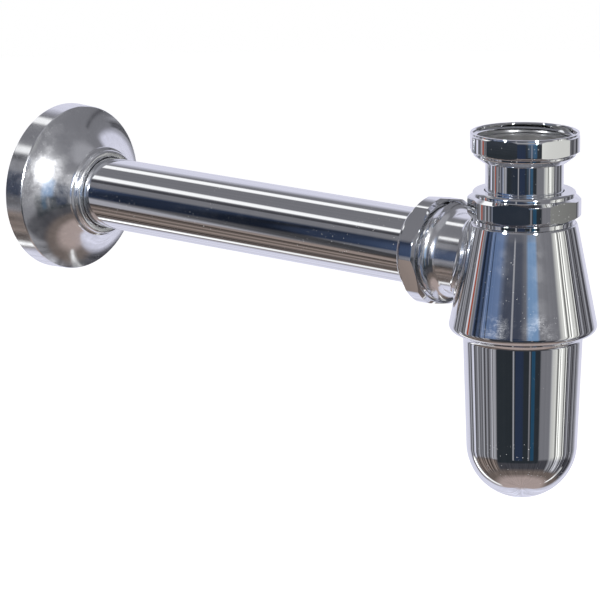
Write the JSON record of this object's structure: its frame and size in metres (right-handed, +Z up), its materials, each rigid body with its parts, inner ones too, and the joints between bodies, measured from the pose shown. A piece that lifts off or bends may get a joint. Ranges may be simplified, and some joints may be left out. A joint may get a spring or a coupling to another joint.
{
  "type": "chromed bottle trap",
  "caption": "Washbasin bottle trap in chromed brass, with union nut, dip tube, screwed cup, side outlet, wall tube and wall flange.",
  "frame": {"origin": "centre of the inlet washer's upper face, inside the inlet nut, where the basin waste seats", "axes": "+Z up along the dip tube, towards the basin; -X along the wall tube, towards the wall"},
  "size_m": [0.3205, 0.076, 0.1539],
  "materials": {
    "polished_chrome": "mirror-polished chrome plating on brass",
    "seal_rubber": "matt black rubber",
    "nylon": "matt natural nylon"
  },
  "bodies": {
    "inlet_nut": {"inlet_nut": "polished_chrome"},
    "inlet_washer": {"inlet_washer": "seal_rubber"},
    "inlet_tube": {"inlet_tube": "polished_chrome"},
    "tube_seal": {"tube_seal": "seal_rubber"},
    "trap_body": {"trap_body": "polished_chrome", "outlet_branch": "polished_chrome"},
    "slip_ring": {"slip_ring": "nylon"},
    "body_nut": {"body_nut": "polished_chrome"},
    "cup_seal": {"cup_seal": "seal_rubber"},
    "cup": {"cup": "polished_chrome"},
    "outlet_slip_ring": {"outlet_slip_ring": "nylon"},
    "outlet_nut": {"outlet_nut": "polished_chrome"},
    "outlet_seal": {"outlet_seal": "seal_rubber"},
    "wall_tube": {"wall_tube": "polished_chrome"},
    "flange_grip_ring": {"flange_grip_ring": "seal_rubber"},
    "wall_flange": {"wall_flange": "polished_chrome"}
  },
  "joints": [
    {"name": "inlet_nut_drop", "type": "slide", "parent": "inlet_nut", "child": "inlet_washer", "axis": [0, 0, 1], "range_m": [0, 0.003]},
    {"name": "inlet_swivel", "type": "hinge", "parent": "inlet_washer", "child": "inlet_tube", "pos_m": [0, 0, 0], "axis": [0, 0, 1], "continuous": true},
    {"name": "trap_height", "type": "slide", "parent": "inlet_tube", "child": "tube_seal", "axis": [0, 0, 1], "range_m": [-0.02, 0.0035]},
    {"name": "trap_swivel", "type": "hinge", "parent": "tube_seal", "child": "trap_body", "pos_m": [0, 0, -0.0513], "axis": [0, 0, 1], "continuous": true},
    {"name": "body_nut_rise", "type": "slide", "parent": "trap_body", "child": "slip_ring", "axis": [0, 0, 1], "range_m": [0, 0.0047]},
    {"name": "body_nut_turn", "type": "hinge", "parent": "slip_ring", "child": "body_nut", "pos_m": [0, 0, -0.0313], "axis": [0, 0, 1], "range_deg": [0, 720]},
    {"name": "cup_drop", "type": "slide", "parent": "trap_body", "child": "cup_seal", "axis": [0, 0, -1], "range_m": [0, 0.0061]},
    {"name": "cup_turn", "type": "hinge", "parent": "cup_seal", "child": "cup", "pos_m": [0, 0, -0.0813], "axis": [0, 0, -1], "range_deg": [0, 1080]},
    {"name": "outlet_nut_back", "type": "slide", "parent": "trap_body", "child": "outlet_slip_ring", "axis": [-1, 0, 0], "range_m": [0, 0.0047]},
    {"name": "outlet_nut_turn", "type": "hinge", "parent": "outlet_slip_ring", "child": "outlet_nut", "pos_m": [-0.045, 0, -0.0513], "axis": [-1, 0, 0], "range_deg": [0, 720]},
    {"name": "outlet_swivel", "type": "hinge", "parent": "trap_body", "child": "outlet_seal", "pos_m": [-0.045, 0, -0.0513], "axis": [-1, 0, 0], "continuous": true},
    {"name": "wall_tube_slide", "type": "slide", "parent": "outlet_seal", "child": "wall_tube", "axis": [-1, 0, 0], "range_m": [-0.004, 0.012]},
    {"name": "flange_slide", "type": "slide", "parent": "wall_tube", "child": "flange_grip_ring", "axis": [1, 0, 0], "range_m": [-0.01, 0.15]},
    {"name": "flange_spin", "type": "hinge", "parent": "flange_grip_ring", "child": "wall_flange", "pos_m": [-0.25, 0, -0.0513], "axis": [1, 0, 0], "continuous": true}
  ],
  "couplings": [
    {"joint": "body_nut_rise", "follows": "body_nut_turn", "m_per_rad": 0.00036749},
    {"joint": "cup_drop", "follows": "cup_turn", "m_per_rad": 0.00031831},
    {"joint": "outlet_nut_back", "follows": "outlet_nut_turn", "m_per_rad": 0.00036749}
  ]
}
